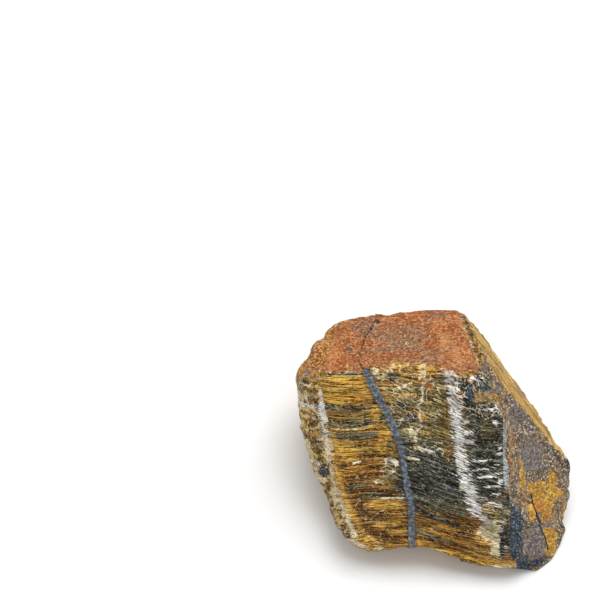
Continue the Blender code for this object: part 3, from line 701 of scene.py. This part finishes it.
def solid_relief(places, normals, found):
    """The relief that the solid has too."""
    grain = found["grain"]
    ledge = ramp(-0.12, 0.12, uneven(grain, LEDGE_LENGTH)) - 0.5
    splintery = LEDGE * ledge + SPLINTER * uneven(grain, SPLINTER_LENGTH)
    crust = ramp(*CRUST_UP, normals[:, 2])
    weathered = ramp(*LUMPY_LEFT, -normals[:, 0])
    proud = SWELL * uneven(grain, SWELL_LENGTH) + splintery * (1 - (1 - CRUST_RELIEF) * crust)
    proud += LUMP * weathered * uneven(grain, LUMP_LENGTH)
    vein = 1 - ramp(VEIN_HALF * 0.8, VEIN_HALF * 1.3, abs(found["vein"]))
    proud += VEIN_RELIEF * vein * (1 - crust)
    proud *= 1 - STRIP_EVEN * ramp(*STRIP_EDGE, found["strip"])
    return proud * (1 - MARGIN_EVEN * ramp(-0.5, 1.5, found["margin"]))


def close_relief(places, found, crack_half):
    """Ribs of fibre, shards, terraces, flakes, grain, chipped edges and cracks."""
    grain = found["fibres"]
    coated = np.maximum.reduce([found[name] for name in ("crust", "skin", "ragged")])
    coat = ramp(-0.2, 0.4, coated) * (1 - ramp(0.3, 1.2, found["scar"]))
    margin = ramp(-1.5, 0.5, np.maximum(found["margin"], -22.5 - grain[:, 0]))
    strip = ramp(0, 1, found["strip"])
    splintery = found["splintery"]
    bare = (1 - COAT_EVEN * coat) * (1 - WORN_EVEN * margin)
    proud = RIB * uneven(grain, RIB_LENGTH) * bare
    proud += SHARD * uneven(grain, SHARD_LENGTH) * splintery * bare
    terrace = ramp(-0.1, 0.1, uneven(grain, TERRACE_LENGTH)) - 0.5
    proud += TERRACE * terrace * (TERRACE_LEAST + (1 - TERRACE_LEAST) * splintery) * bare
    flake = ramp(-0.35, 0.35, uneven(grain, FLAKE_STEP_LENGTH)) - 0.5
    proud += FLAKE_STEP * flake * np.maximum(margin, RAGGED_FLAKES * ramp(0, 0.6, found["ragged"]))
    proud += MARGIN_OUT * ramp(0.2, 2.6, found["margin"])
    for middle, reach, out in FULLER:
        proud += out * ramp(reach, 0, np.linalg.norm(places - middle, axis=1))
    proud += GRAIN * uneven(places, GRAIN_LENGTH)
    near_edge = 1 - ramp(0, CHIP_REACH, found["edge"] - found["scar"])
    ribs = STRIP_RIB * RIB * uneven(found["strip_grain"], RIB_LENGTH)
    proud += (ribs - proud) * STRIP_TAKES * strip
    old = np.maximum(margin, ramp(0, 2, found["skin"]))
    proud -= np.maximum(0, found["worn"]) * (FRESH_WEAR + (1 - FRESH_WEAR) * old)
    smooth = np.maximum(margin, ramp(*STRIP_EDGE, found["strip"]))
    proud -= CHIP * (1 - CHIP_EVEN * smooth) * near_edge * ramp(0.0, 0.5, uneven(places, CHIP_LENGTH))
    proud -= CRACK_DEPTH * np.exp(-(found["crack"] / crack_half) ** 2)
    return proud


def raise_relief(stone, share, crack_half):
    """Moves every point off its flat break, and keeps where it came from in "before"."""
    mesh = stone.data
    count = len(mesh.vertices)
    flat = np.empty(count * 3, np.float32)
    mesh.vertices.foreach_get("co", flat)
    places = flat.reshape(-1, 3).astype(float) / MM - np.array(HEART) / MM
    normals = np.empty(count * 3, np.float32)
    mesh.vertex_normals.foreach_get("vector", normals)
    normals = normals.reshape(-1, 3).astype(float)
    height = places[:, 2] + HEART.z / MM
    found = measure(places)
    close = close_relief(places, found, crack_half / MM) * share
    proud = (solid_relief(places, normals, found) + close) * ramp(0, BED_FADE, height)
    moved = places + normals * proud[:, None]
    bed = (height < 0.1) & (normals[:, 2] < -0.9)
    pits = BED_PIT * share * ramp(0.0, 0.5, uneven(places, BED_PIT_LENGTH))
    pits += BED_GRAIN * share * ramp(0.0, 0.4, uneven(places, SHARD_LENGTH))
    moved[bed, 2] = -HEART.z / MM + pits[bed] * ramp(0, 2, found["edge"][bed])
    mesh.vertices.foreach_set("co", ((moved + np.array(HEART) / MM) * MM).astype(np.float32).ravel())
    kept = mesh.attributes.new("before", "FLOAT_VECTOR", "POINT")
    kept.data.foreach_set("vector", places.astype(np.float32).ravel())
    mesh.update()


def thin_faces(stone):
    """Spends the faces where the surface is least flat."""
    stone.data.calc_loop_triangles()
    share = min(1.0, MOST_FACES / len(stone.data.loop_triangles))
    apply_modifier("DECIMATE", stone, "thin", ratio=share, use_collapse_triangulate=True)


def keep_measures(stone):
    """Writes the measures on the finished points, for the material to read."""
    mesh = stone.data
    before = np.empty(len(mesh.vertices) * 3, np.float32)
    mesh.attributes["before"].data.foreach_get("vector", before)
    for name, values in measure(before.reshape(-1, 3).astype(float)).items():
        if values.ndim > 1:
            written = mesh.attributes.new(name, "FLOAT_VECTOR", "POINT")
            written.data.foreach_set("vector", values.astype(np.float32).ravel())
        else:
            written = mesh.attributes.new(name, "FLOAT", "POINT")
            written.data.foreach_set("value", values.astype(np.float32))


# ---------------------------------------------------------------- the stone's material


def add(tree, kind, inputs=(), out=0, **settings):
    """Adds a node with its settings, links or sets its inputs, and returns one of its outputs.

    The inputs are given in their order, or by name or number.
    """
    node = tree.nodes.new("ShaderNode" + kind)
    for key, value in settings.items():
        setattr(node, key, value)
    for key, value in inputs.items() if isinstance(inputs, dict) else enumerate(inputs):
        socket = node.inputs[key]
        if isinstance(value, bpy.types.NodeSocket):
            tree.links.new(value, socket)
        elif socket.type == "RGBA":
            socket.default_value = (*value, 1.0)
        else:
            socket.default_value = value
    return node.outputs[out]


def pattern(tree, place, length, detail=2.0, warp=0.0, low=0.32, high=0.68):
    """Unevenness of this length along, across and deep, in mm, spread from 0 to 1."""
    scaled = add(tree, "VectorMath", (place, length), operation="DIVIDE")
    rough = add(tree, "TexNoise",
                {"Vector": scaled, "Scale": 1.0, "Detail": detail, "Roughness": 0.6,
                 "Distortion": warp})
    return add(tree, "MapRange", (rough, low, high))


def ragged(tree, weight, rough, reach, soft, cut=0.5):
    """Where a mark or a coat shows: its measure, made ragged by a pattern, is past the cut."""
    uneven_weight = add(tree, "Math", (rough, reach, weight), operation="MULTIPLY_ADD")
    middle = cut + reach / 2
    return add(tree, "MapRange", (uneven_weight, middle - soft, middle + soft),
               interpolation_type="SMOOTHSTEP")


def near(tree, offset, half, soft):
    """1 within this distance of a sheet that crosses the fibres."""
    distance = add(tree, "Math", (offset,), operation="ABSOLUTE")
    return add(tree, "MapRange", (distance, half + soft, half - soft),
               interpolation_type="SMOOTHSTEP")


def threads(tree, rough, half, soft):
    """Thin curling lines, where a pattern passes its middle."""
    return near(tree, add(tree, "Math", (rough, 0.5), operation="SUBTRACT"), half, soft)


def sum_of(tree, rough, **shares):
    """The sum of these patterns, each by its share."""
    total = 0.0
    for name, share in shares.items():
        total = add(tree, "Math", (rough[name], share, total), operation="MULTIPLY_ADD")
    return total


def product(tree, *shares):
    """How much shows of something that each of these holds back."""
    total = shares[0]
    for share in shares[1:]:
        total = add(tree, "Math", (total, share), operation="MULTIPLY")
    return total


def paint(tree, base, code, *shares):
    """A colour over the base, as much as all of these shares leave of it."""
    return add(tree, "Mix", {0: product(tree, *shares), 6: base, 7: code}, out=2, data_type="RGBA")


def tones(tree, value, dark, body, pale, low=0.28, middle=0.5, high=0.74):
    """Dark where the value is low, the body's colour in the middle, and pale where it is high."""
    lower = add(tree, "MapRange", (value, low, middle))
    upper = add(tree, "MapRange", (value, middle, high))
    return paint(tree, paint(tree, dark, body, lower), pale, upper)


def shade(code, share):
    """A colour with only this share of its light."""
    return tuple(channel * share for channel in code)


def stone_patterns(tree):
    """Every unevenness that the finishes share, from 0 to 1."""
    spaces = {
        "grain": add(tree, "Attribute", attribute_name="fibres", out="Vector"),
        "strip": add(tree, "Attribute", attribute_name="strip_grain", out="Vector"),
        "place": add(tree, "VectorMath",
                     {0: add(tree, "TexCoord", out="Object"), "Scale": 1 / MM}, operation="SCALE"),
    }
    return {name: pattern(tree, spaces[space], *rest) for name, (space, *rest) in PATTERNS.items()}


def fibre_finish(tree, look, rough, read):
    """Silky fibre in bands from gold to blue black."""
    smooth = sum_of(tree, rough, bundle=0.3, fibre=0.44, dash=0.26)
    torn = sum_of(tree, rough, bundle=0.3, fibre=0.25, splinter=0.3, dash=0.15)
    rough["streak"] = add(tree, "Mix", {0: read["splintery"], 2: smooth, 3: torn})
    spread = sum_of(tree, rough, band=0.4, bundle=0.6)
    frayed = sum_of(tree, rough, bundle=0.4, fibre=0.4, splinter=0.2)
    body, glint = look.brown, look.brown_glint
    for name, edge, reach, soft in (("umber", spread, 0.6, 0.2), ("olive", spread, 0.6, 0.2),
                                    ("gold", spread, 0.5, 0.22), ("charcoal", frayed, 0.4, 0.12),
                                    ("black", frayed, 0.8, 0.14)):
        shown = ragged(tree, read[name], edge, reach, soft)
        body = paint(tree, body, getattr(look, name), shown)
        glint = paint(tree, glint, getattr(look, name + "_glint"), shown)
    # Painted light: the dark end of the fibre's tones is painted shade in the grooves between bundles, and
    # the glint end a painted highlight
    dark = paint(tree, body, (0, 0, 0), 0.78)
    base = tones(tree, rough["streak"], dark, body, glint, 0.32, 0.49, 0.69)
    tint = tones(tree, rough["tint"], look.warm, look.bright, look.cool)
    return add(tree, "Mix", {0: 1.0, 6: base, 7: tint}, out=2, data_type="RGBA",
               blend_type="MULTIPLY")


def splinter_finish(tree, look, rough, read, base):
    """The worn margin and its painted sheen line, cream and white splinters, curled threads and painted
    shade in the gaps.
    """
    worn = ragged(tree, read["margin"], rough["mottle"], 1.5, 0.5, 0.0)
    flaky = sum_of(tree, rough, mottle=0.4, curl=0.1, thread=0.3, bundle=0.2)
    flaked = tones(tree, flaky, shade(look.umber, 0.3), look.margin, look.gold_glint, 0.36, 0.5, 0.68)
    base = paint(tree, base, flaked, worn, 0.9)
    for name, low, high, code, strength in (
            ("flaky", 0.6, 0.66, look.gold_glint, 0.6), ("scale", 0.7, 0.74, look.fleck, 0.8),
            ("scale", 0.3, 0.27, shade(look.umber, 0.3), 0.8)):
        value = flaky if name == "flaky" else rough[name]
        flake = add(tree, "MapRange", (value, low, high))
        base = paint(tree, base, code, worn, flake, strength)

    # Painted light: right of the sheen line, where it is lit, the fibre is painted golden and bright, and a
    # painted shadow runs along its left
    beside = add(tree, "Math", (read["cream_line"], 1.1), operation="SUBTRACT")
    golden = tones(tree, rough["streak"], look.brown, look.gold, look.gold_glint, 0.24, 0.42, 0.6)
    base = paint(tree, base, golden, near(tree, beside, 0.4, 1.0), read["lit"], 0.9)
    shadow = add(tree, "Math", (read["cream_line"], 1.2), operation="ADD")
    base = paint(tree, base, shade(look.umber, 0.4), near(tree, shadow, 0.2, 0.5), read["lit"], 0.7)
    # The sheen line itself: a painted highlight, pale cream to white, golden where it is lit
    glow = ragged(tree, product(tree, near(tree, read["cream_line"], 0.25, 0.95), 0.95),
                  sum_of(tree, rough, bundle=0.35, fibre=0.35, mottle=0.3), 0.95, 0.3)
    painted_sheen = tones(tree, sum_of(tree, rough, streak=0.5, dash=0.5), look.gold_glint, look.cream_glint,
                 look.bright, 0.16, 0.4, 0.6)
    painted_sheen = paint(tree, painted_sheen, tones(tree, rough["dash"], look.gold_glint, look.fleck, look.painted_sheen,
                                   0.1, 0.36, 0.6), read["lit"], 0.8)
    base = paint(tree, base, painted_sheen, glow)

    cream = ragged(tree, read["cream"], sum_of(tree, rough, thread=0.6, dash=0.4), 0.9, 0.1)
    base = paint(tree, base, tones(tree, rough["dash"], shade(look.cream, 0.7), look.cream,
                                   look.cream_glint, 0.12, 0.42, 0.66), cream)
    # The white band is white fibre ends, and its soft bright glow is painted sheen
    band = product(tree, near(tree, read["white_band"], 0.85, 1.75), 0.94)
    white = add(tree, "Math", (product(tree, read["white"], 0.73), band),
                operation="MAXIMUM")
    white = ragged(tree, white, sum_of(tree, rough, splinter=0.6, fibre=0.2, dash=0.2), 0.95, 0.14)
    base = paint(tree, base, tones(tree, rough["splinter"], look.cream, shade(look.white, 0.9),
                                   look.bright, 0.1, 0.4, 0.7), white)

    dim = add(tree, "MapRange", (rough["curl"], 0.42, 0.2))
    base = paint(tree, base, shade(look.umber, 0.3), dim, read["curly"], 0.6)
    line = near(tree, read["squiggle"], 0.18, 0.16)
    curls = add(tree, "Math", (threads(tree, rough["curl"], 0.034, 0.045), line), operation="MAXIMUM")
    broken = ragged(tree, read["curly"], sum_of(tree, rough, dash=0.4, speck=0.6), 0.95, 0.1)
    base = paint(tree, base, look.thread, curls, broken)
    loose = add(tree, "Math", (read["curly"], 0.16, rough["thread"]), operation="MULTIPLY_ADD")
    loose = add(tree, "MapRange", (loose, 0.84, 0.96))
    end = paint(tree, look.gold_glint, look.fleck, read["splintery"])
    base = paint(tree, base, end, loose, 0.65)
    # Painted highlight: sparkle specks, fewer where the fibre is splintery
    calm = add(tree, "MapRange", {"Value": read["splintery"], "To Min": 0.6, "To Max": 0.25})
    base = paint(tree, base, look.fleck, rough["painted_sparkle"], calm)
    # Painted shade in the gaps between splinters
    gap = add(tree, "MapRange", (rough["thread"], 0.2, 0.06))
    return paint(tree, base, look.gap, gap, 0.75)


def vein_finish(tree, look, rough, read, base):
    """Grains of blue-grey hematite in the vein and, paler, in the seam."""
    grains = sum_of(tree, rough, speck=0.45, grit=0.55)
    half = look.vein_half / MM
    stained = ragged(tree, near(tree, read["vein"], half + 0.3, 0.4), rough["speck"], 0.9, 0.2)
    base = paint(tree, base, shade(look.navy, 0.6), stained, 0.5)
    vein = ragged(tree, near(tree, read["vein"], half - 0.1, 0.3), rough["speck"], 0.9, 0.12)
    steel = tones(tree, grains, shade(look.hematite, 0.4), look.hematite, look.seam_grey, 0.1, 0.5, 1.0)
    base = paint(tree, base, steel, vein)
    seam = ragged(tree, near(tree, read["seam"], 0.55, 0.3), rough["speck"], 0.6, 0.14)
    pale = tones(tree, grains, shade(look.seam_grey, 0.4), look.seam_grey, look.white, 0.1, 0.45, 0.9)
    return paint(tree, base, pale, seam)


def coat_finish(tree, look, rough, read, base):
    """Matt coats of iron oxide over the old outside, all but the fresh scars of the flakes."""
    kept = add(tree, "MapRange", (read["scar"], 0.9, 0.3))
    coats = {}
    for name, edge, reach, soft in (
            ("rust", "mottle", 2.6, 0.4), ("skin", "speck", 1.0, 0.15), ("strip", "speck", 0.6, 0.12),
            ("ragged", "speck", 1.6, 0.25), ("crust", "speck", 0.8, 0.1)):
        coats[name] = product(tree, kept, ragged(tree, read[name], rough[edge], reach, soft, 0.0))
    drawn = sum_of(tree, rough, dash=0.3, grit=0.4, speck=0.1, mottle=0.2)
    rusty = tones(tree, drawn, shade(look.umber, 0.9), look.rust, look.gold_glint, 0.2, 0.5, 0.85)
    base = paint(tree, base, rusty, coats["rust"])

    scraped = sum_of(tree, rough, scrape=0.45, grit=0.4, speck=0.15)
    skin, glazed, stained = (tones(tree, scraped, shade(code, 0.45), code, look.skin_pale, 0.2, 0.5, 0.8)
                             for code in (look.skin_brown, look.grey, look.tan))
    high = add(tree, "MapRange", (rough["run"], 0.5, 0.8))
    low = add(tree, "MapRange", (rough["run"], 0.4, 0.1))
    skin = paint(tree, paint(tree, skin, glazed, high, 0.6), stained, low, 0.3)
    skin = paint(tree, skin, look.skin_dot, rough["dot"], 0.7)
    # Painted shade of small pits
    skin = paint(tree, skin, shade(look.skin_brown, 0.3), rough["pit_shade"], 0.6)
    base = paint(tree, base, skin, coats["skin"])

    bare = sum_of(tree, rough, strip_fibre=0.45, grit=0.2, strip_band=0.35)
    strip = tones(tree, bare, shade(look.mustard, 0.3), look.mustard, look.gold_glint, 0.3, 0.48, 0.74)
    base = paint(tree, base, strip, coats["strip"])

    curl = threads(tree, rough["curl"], 0.03, 0.03)
    torn = tones(tree, sum_of(tree, rough, thread=0.5, speck=0.5), shade(look.torn, 0.15), look.torn,
                 look.mustard, 0.34, 0.64, 0.9)
    base = paint(tree, base, paint(tree, torn, look.fleck, curl, 0.7), coats["ragged"])

    brick = tones(tree, drawn, shade(look.brick, 0.6), look.brick, look.brick_pale, 0.2, 0.5, 0.85)
    dusky = tones(tree, drawn, shade(look.dusk, 0.5), look.dusk, look.skin_pale, 0.2, 0.5, 0.85)
    brick = paint(tree, brick, dusky, rough["drift"], rough["cloud"], 0.7)
    brick = paint(tree, brick, dusky, ragged(tree, read["dusk"], rough["drift"], 0.9, 0.3), 0.7)
    brick = paint(tree, brick, look.brick_pale, read["pale"], rough["mottle"], 0.5)
    brick = paint(tree, brick, look.fleck, rough["dot"], 0.24)
    fluff = ragged(tree, read["curly"], rough["speck"], 0.95, 0.15)
    brick = paint(tree, brick, look.fleck, curl, fluff, 0.6)
    # Painted shade of small pits
    brick = paint(tree, brick, shade(look.rust, 0.3), rough["pit_shade"], 0.6)
    base = paint(tree, base, brick, coats["crust"])

    brink = add(tree, "Math", (read["edge"], read["scar"]), operation="SUBTRACT")
    worn = ragged(tree, near(tree, brink, 0.05, 0.3), rough["speck"], 0.95, 0.15)
    bruised = tones(tree, rough["dash"], look.rust, look.cream, look.cream_glint)
    matt = coats["crust"]
    for name in ("skin", "rust"):
        matt = add(tree, "Math", (matt, coats[name]), operation="MAXIMUM")
    return paint(tree, base, bruised, worn, 0.5), matt


def patch_finish(tree, look, rough, read, base):
    """Patches of other iron minerals on the coats, and the cracks."""
    fine = sum_of(tree, rough, speck=0.25, grit=0.55, mottle=0.2)
    edge = sum_of(tree, rough, speck=0.6, run=0.4)
    for name, strength, reach, soft, dark, pale in (
            ("grey", 0.6, 0.8, 0.4, 0.4, look.skin_pale), ("tan", 0.7, 0.8, 0.25, 0.5, look.fleck),
            ("ochre", 1.0, 0.75, 0.07, 0.6, look.gold_glint),
            ("orange", 0.8, 0.8, 0.2, 0.6, look.brick_pale),
            ("navy", 1.0, 0.8, 0.1, 0.3, look.hematite)):
        shown = ragged(tree, read[name], edge, reach, soft)
        body = getattr(look, name)
        patch = tones(tree, fine, shade(body, dark), body, pale, 0.2, 0.5, 0.95)
        # Painted shade of small pits
        patch = paint(tree, patch, shade(body, 0.3), rough["pit_shade"], 0.5)
        base = paint(tree, base, patch, shown, strength)
        if name == "navy":
            base = paint(tree, base, look.seam_grey, shown, rough["dot"], 0.45)
    # Painted shade in the cracks
    crack = add(tree, "MapRange", (read["crack"], 0.22, 0.06))
    return paint(tree, base, look.gap, crack)


def stone_material(look):
    """Tiger's eye: quartz grown through fibres of crocidolite, which iron has turned gold and brown.

    A fresh break is silky: fine parallel fibres in light and dark bundles. Where the fibre kept its
    blue it is nearly black, and bruised fibre ends are white. Hematite fills the veins with blue-grey
    grains, and the outside wears matt coats of iron oxide: brick red, brown and ochre.
    """
    material = bpy.data.materials.new("rough_tigers_eye_quartz")
    material.use_nodes = True
    tree = material.node_tree
    shader = tree.nodes["Principled BSDF"]
    measures = (*ROUTES, *COATS, *MARKS, "scar", "edge", "crack", "splintery", "lit")
    read = {name: add(tree, "Attribute", attribute_name=name, out="Fac") for name in measures}
    rough = stone_patterns(tree)
    base = fibre_finish(tree, look, rough, read)
    base = splinter_finish(tree, look, rough, read, base)
    base = vein_finish(tree, look, rough, read, base)
    base, matt = coat_finish(tree, look, rough, read, base)
    base = patch_finish(tree, look, rough, read, base)

    silky = add(tree, "MapRange",
                {"Value": rough["streak"], "To Min": FIBRE_MATT, "To Max": FIBRE_SILKY})
    roughness = add(tree, "Mix", {0: matt, 2: silky, 3: CRUST_MATT})
    drawn = sum_of(tree, rough, bundle=0.14, fibre=0.09, thread=0.09, splinter=0.06)
    sandy = sum_of(tree, rough, mottle=0.12, speck=0.06, grit=0.03)
    relief = add(tree, "Mix", {0: matt, 2: drawn, 3: sandy})
    bump = add(tree, "Bump", {"Height": relief, "Strength": 1.0, "Distance": MM}, out="Normal")

    tree.links.new(base, shader.inputs["Base Color"])
    tree.links.new(roughness, shader.inputs["Roughness"])
    tree.links.new(bump, shader.inputs["Normal"])
    shader.inputs["IOR"].default_value = QUARTZ_IOR
    shader.inputs["Specular IOR Level"].default_value = WEATHERED_GLOSS
    return material


# ---------------------------------------------------------------- operators


class ROUGHSTONE_OT_tigers_eye(bpy.types.Operator):
    """Break, flake, raise and dress the lump of tiger's eye"""

    bl_idname = "roughstone.tigers_eye"
    bl_label = "Rough tiger's eye"

    def execute(self, context):
        look = context.scene.rough_stone
        stone = broken_block()
        strike_flakes(stone)
        cover_with_faces(stone)
        raise_relief(stone, look.relief, look.crack_half)
        only(stone)
        thin_faces(stone)
        keep_measures(stone)
        bpy.ops.object.shade_smooth()
        if not stone.data.polygons:
            raise RuntimeError("the breaks left nothing of the block")
        stone.data.materials.clear()
        stone.data.materials.append(stone_material(look))
        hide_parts(NODE)
        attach(stone, "root")
        return {"FINISHED"}


CAMERA_AIM = Vector((-27.4, 40.5, 0)) * MM
CAMERA_DISTANCE = 375 * MM
CAMERA_ELEVATION = 60  # degrees
CAMERA_LENS, SENSOR = 100, 36  # in mm
NEAREST = 0.01  # the camera sees nothing nearer than this, in metres
CARD_ROUGHNESS, CARD_GLOSS = 0.9, 0.1
FLOOR_SIDES = 96
LIGHT_FROM = (70, 72)  # the softbox's turn round from +X and its height, in degrees
LIGHT_DISTANCE = 0.75


def white_card(look):
    """Matt white card: bright, even and without gloss."""
    material = bpy.data.materials.new("matt_white_card")
    material.use_nodes = True
    tree = material.node_tree
    shader = tree.nodes["Principled BSDF"]
    shader.inputs["Base Color"].default_value = (*look.floor, 1.0)
    shader.inputs["Roughness"].default_value = CARD_ROUGHNESS
    shader.inputs["Specular IOR Level"].default_value = CARD_GLOSS
    return material


class ROUGHSTONE_OT_stage(bpy.types.Operator):
    """Add the white floor, the soft light and the camera"""

    bl_idname = "roughstone.stage"
    bl_label = "Pale stage"

    def execute(self, context):
        look = context.scene.pale_stage
        scene = context.scene
        bpy.ops.object.select_all(action="DESELECT")
        bpy.ops.mesh.primitive_circle_add(vertices=FLOOR_SIDES, radius=look.floor_radius, fill_type="NGON")
        floor = bpy.context.object
        floor.name = "white_floor"
        floor.data.materials.append(white_card(look))

        world = bpy.data.worlds.new("even_white_room")
        world.use_nodes = True
        sky = world.node_tree.nodes["Background"]
        sky.inputs["Color"].default_value = (1, 1, 1, 1)
        sky.inputs["Strength"].default_value = look.sky
        scene.world = world

        direction = facing(*LIGHT_FROM)
        bpy.ops.object.light_add(type="AREA", location=direction * LIGHT_DISTANCE,
                                 rotation=direction.to_track_quat("Z", "Y").to_euler())
        softbox = bpy.context.object
        softbox.name = "softbox"
        softbox.data.shape = "SQUARE"
        softbox.data.size = look.softbox_side
        softbox.data.energy = look.softbox

        lean = math.radians(CAMERA_ELEVATION)
        back = Vector((0, -math.cos(lean), math.sin(lean)))
        bpy.ops.object.camera_add(location=CAMERA_AIM + back * CAMERA_DISTANCE,
                                  rotation=(math.pi / 2 - lean, 0, 0))
        camera = bpy.context.object
        camera.name = "camera"
        camera.data.lens = CAMERA_LENS
        camera.data.sensor_width = SENSOR
        camera.data.clip_start = NEAREST
        camera.data.dof.use_dof = False
        scene.camera = camera
        scene.view_settings.view_transform = "Standard"
        return {"FINISHED"}


class ROUGHSTONE_PT_panel(bpy.types.Panel):
    """Lists the pieces and the stage"""

    bl_idname = "ROUGHSTONE_PT_panel"
    bl_label = "Rough stone"
    bl_space_type = "VIEW_3D"
    bl_region_type = "UI"
    bl_category = "Rough stone"

    def draw(self, context):
        for operator in (ROUGHSTONE_OT_tigers_eye, ROUGHSTONE_OT_stage):
            self.layout.operator(operator.bl_idname)
        for group in (context.scene.rough_stone, context.scene.pale_stage):
            for name in group.__annotations__:
                self.layout.prop(group, name)


CLASSES = (RoughStoneSettings, PaleStageSettings, ROUGHSTONE_OT_tigers_eye, ROUGHSTONE_OT_stage,
           ROUGHSTONE_PT_panel)


def register():
    for cls in CLASSES:
        bpy.utils.register_class(cls)
    bpy.types.Scene.rough_stone = bpy.props.PointerProperty(type=RoughStoneSettings)
    bpy.types.Scene.pale_stage = bpy.props.PointerProperty(type=PaleStageSettings)


def unregister():
    del bpy.types.Scene.pale_stage
    del bpy.types.Scene.rough_stone
    for cls in reversed(CLASSES):
        bpy.utils.unregister_class(cls)


def main():
    register()
    bpy.ops.roughstone.tigers_eye()
    bpy.ops.roughstone.stage()


if __name__ == "__main__":
    main()
